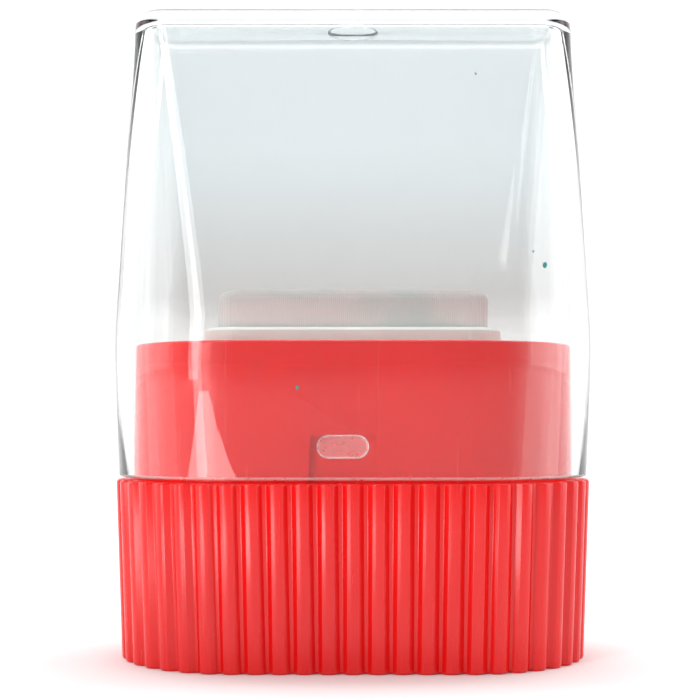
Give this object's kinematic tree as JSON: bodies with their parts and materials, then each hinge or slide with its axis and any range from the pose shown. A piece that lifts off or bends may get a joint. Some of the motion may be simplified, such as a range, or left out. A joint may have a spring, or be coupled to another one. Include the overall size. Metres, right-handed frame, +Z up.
{
  "type": "ink pad",
  "caption": "Small ink pad: ribbed oval grip body with a raised cloth pad, closed by a tall clear wedge-shaped cover that lifts straight off.",
  "frame": {"origin": "middle of the underside, on the surface that the ink pad stands on", "axes": "+Z up through the cover, +X along the wide side, -Y towards the wide front"},
  "size_m": [0.0504, 0.0294, 0.0679],
  "materials": {
    "red_plastic": "glossy moulded plastic",
    "clear_plastic": "clear, lightly scratched polystyrene",
    "white_plastic": "satin",
    "pad_cloth": "fine plain weave, lightly inked",
    "foam": "open-cell foam",
    "felt": "pressed felt"
  },
  "bodies": {
    "base": {"grip_body": "red_plastic", "base_plate": "red_plastic", "pad_tray": "red_plastic", "ink_reservoir": "foam", "ink_wick": "felt", "pad_frame": "white_plastic", "pad_foam": "foam", "pad_cloth": "pad_cloth"},
    "cover": {"clear_cover": "clear_plastic"}
  },
  "joints": [
    {"name": "cover_lift", "type": "slide", "parent": "base", "child": "cover", "axis": [0, 0, 1], "range_m": [0, 0.04]}
  ]
}
